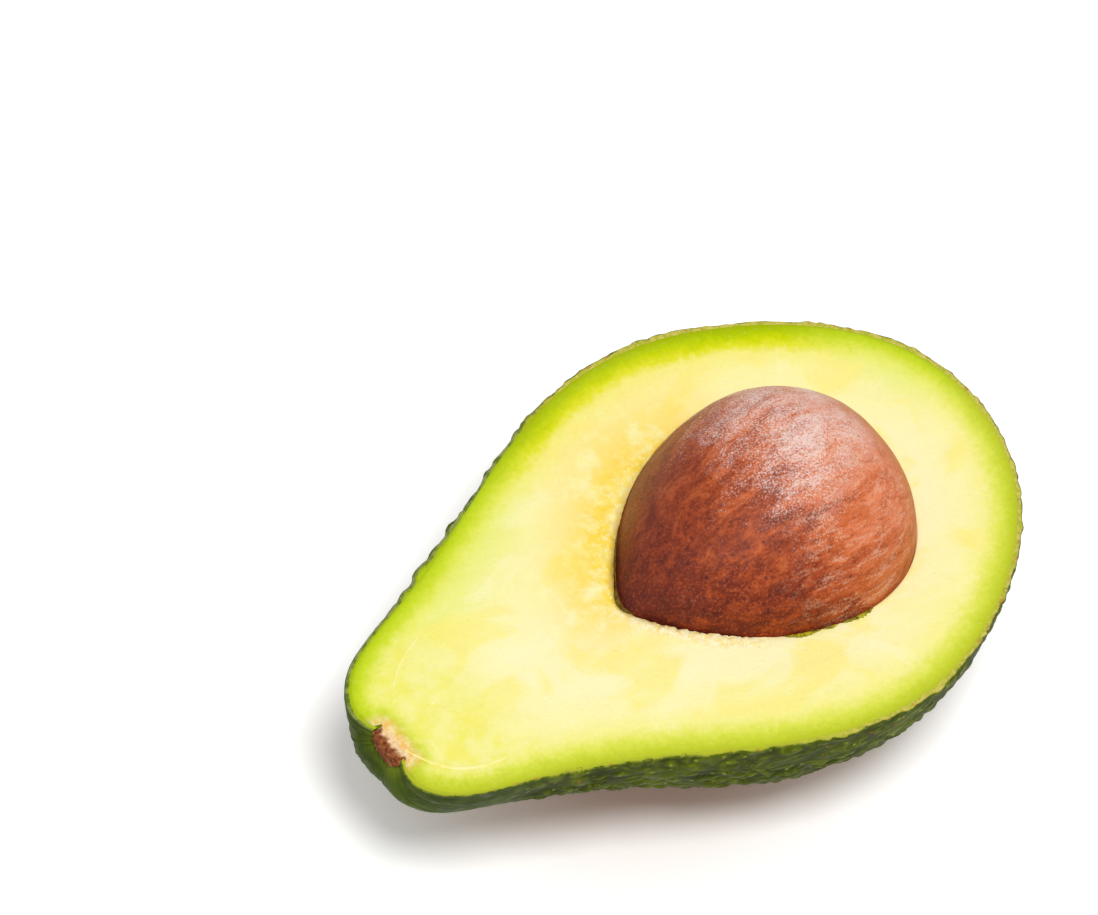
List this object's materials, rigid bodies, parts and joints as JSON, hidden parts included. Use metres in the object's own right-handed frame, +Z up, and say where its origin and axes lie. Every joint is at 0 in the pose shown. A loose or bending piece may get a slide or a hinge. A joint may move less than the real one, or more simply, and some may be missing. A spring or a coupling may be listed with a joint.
{
  "type": "avocado half",
  "caption": "Pear-shaped avocado cut in half lengthwise, lying on its skin with the cut face up and the egg-shaped stone still in its hollow.",
  "frame": {"origin": "under the middle of the part's box, on the surface that it rests on", "axes": "+X from the stem end to the blossom end, +Z up out of the level cut face, +Y across the cut face"},
  "size_m": [0.1042, 0.0662, 0.0473],
  "materials": {
    "skin": "satin",
    "flesh": "satin",
    "stone": "satin",
    "stem_stub": "matte"
  },
  "bodies": {
    "root": {"skin": "skin", "flesh": "flesh", "stone": "stone", "stem_stub": "stem_stub"}
  },
  "joints": []
}
